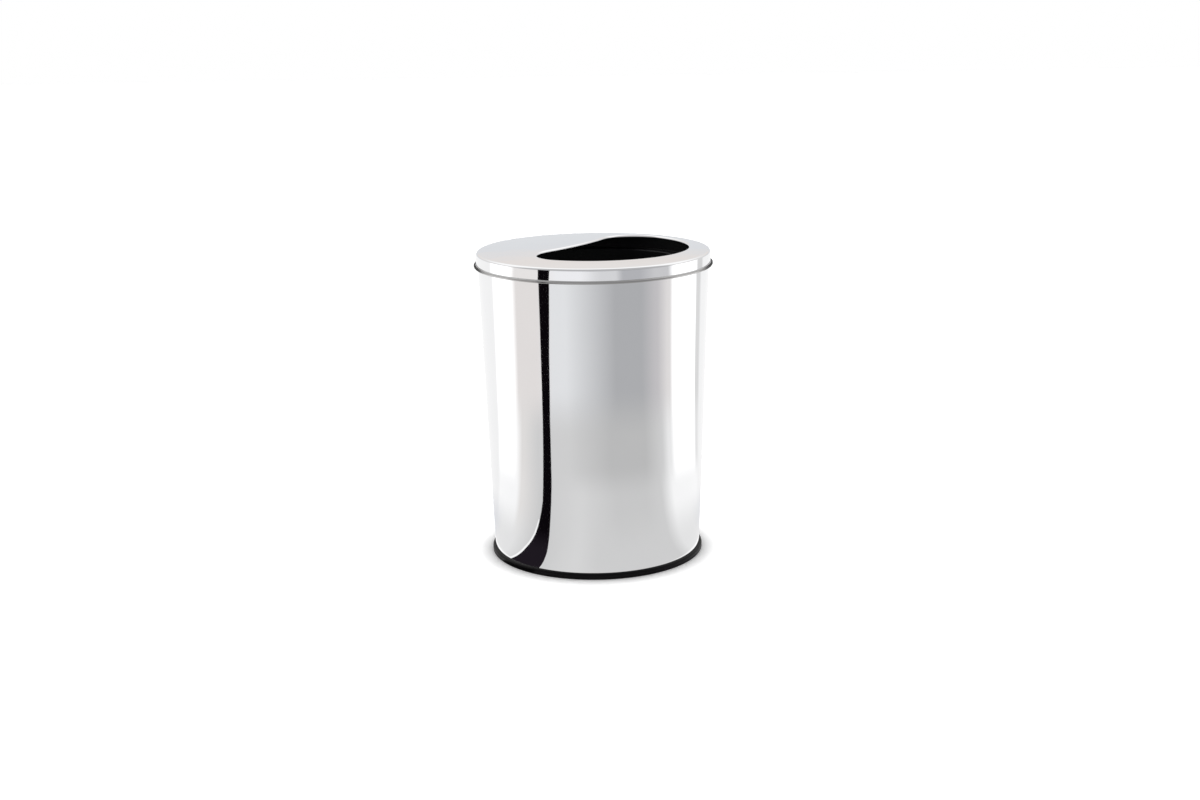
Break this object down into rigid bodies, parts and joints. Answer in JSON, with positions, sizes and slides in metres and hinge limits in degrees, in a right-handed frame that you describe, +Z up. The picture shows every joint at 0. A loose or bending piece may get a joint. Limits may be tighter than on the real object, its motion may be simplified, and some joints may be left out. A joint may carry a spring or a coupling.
{
  "type": "trash can",
  "caption": "Round tapered steel trash can with a lift-off crowned lid, a comma-shaped mouth, a black base ring and a lift-out inner bucket with a wire bail.",
  "frame": {"origin": "middle of the base ring's underside, on the floor", "axes": "+Z up along the bin's axis, -Y towards the viewer of the picture, +X to that viewer's right"},
  "size_m": [0.2516, 0.2516, 0.3299],
  "materials": {
    "polished_steel": "mirror-polished stainless sheet",
    "pressed_steel": "satin pressed sheet",
    "ring_plastic": "black moulded plastic with a slight sheen",
    "bucket_plastic": "black moulded polypropylene, fine grain",
    "bail_steel": "galvanised steel wire",
    "grip_plastic": "black moulded plastic"
  },
  "bodies": {
    "can": {"body_shell": "polished_steel", "bottom_pan": "pressed_steel", "base_ring": "ring_plastic"},
    "bucket": {"inner_bucket": "bucket_plastic"},
    "lid": {"lid_cap": "polished_steel"},
    "bail": {"bail_wire": "bail_steel", "bail_grip": "grip_plastic"}
  },
  "joints": [
    {"name": "bucket_lift", "type": "slide", "parent": "can", "child": "bucket", "axis": [0, 0, 1], "range_m": [0, 0.33]},
    {"name": "lid_lift", "type": "slide", "parent": "bucket", "child": "lid", "axis": [0, 0, 1], "range_m": [0, 0.36]},
    {"name": "bail_swing", "type": "hinge", "parent": "bucket", "child": "bail", "pos_m": [0, 0, 0.3159], "axis": [-1, 0, 0], "range_deg": [0, 180]}
  ],
  "couplings": [
    {"joint": "bail_swing", "follows": "lid_lift", "rad_per_m": 8.7266}
  ]
}
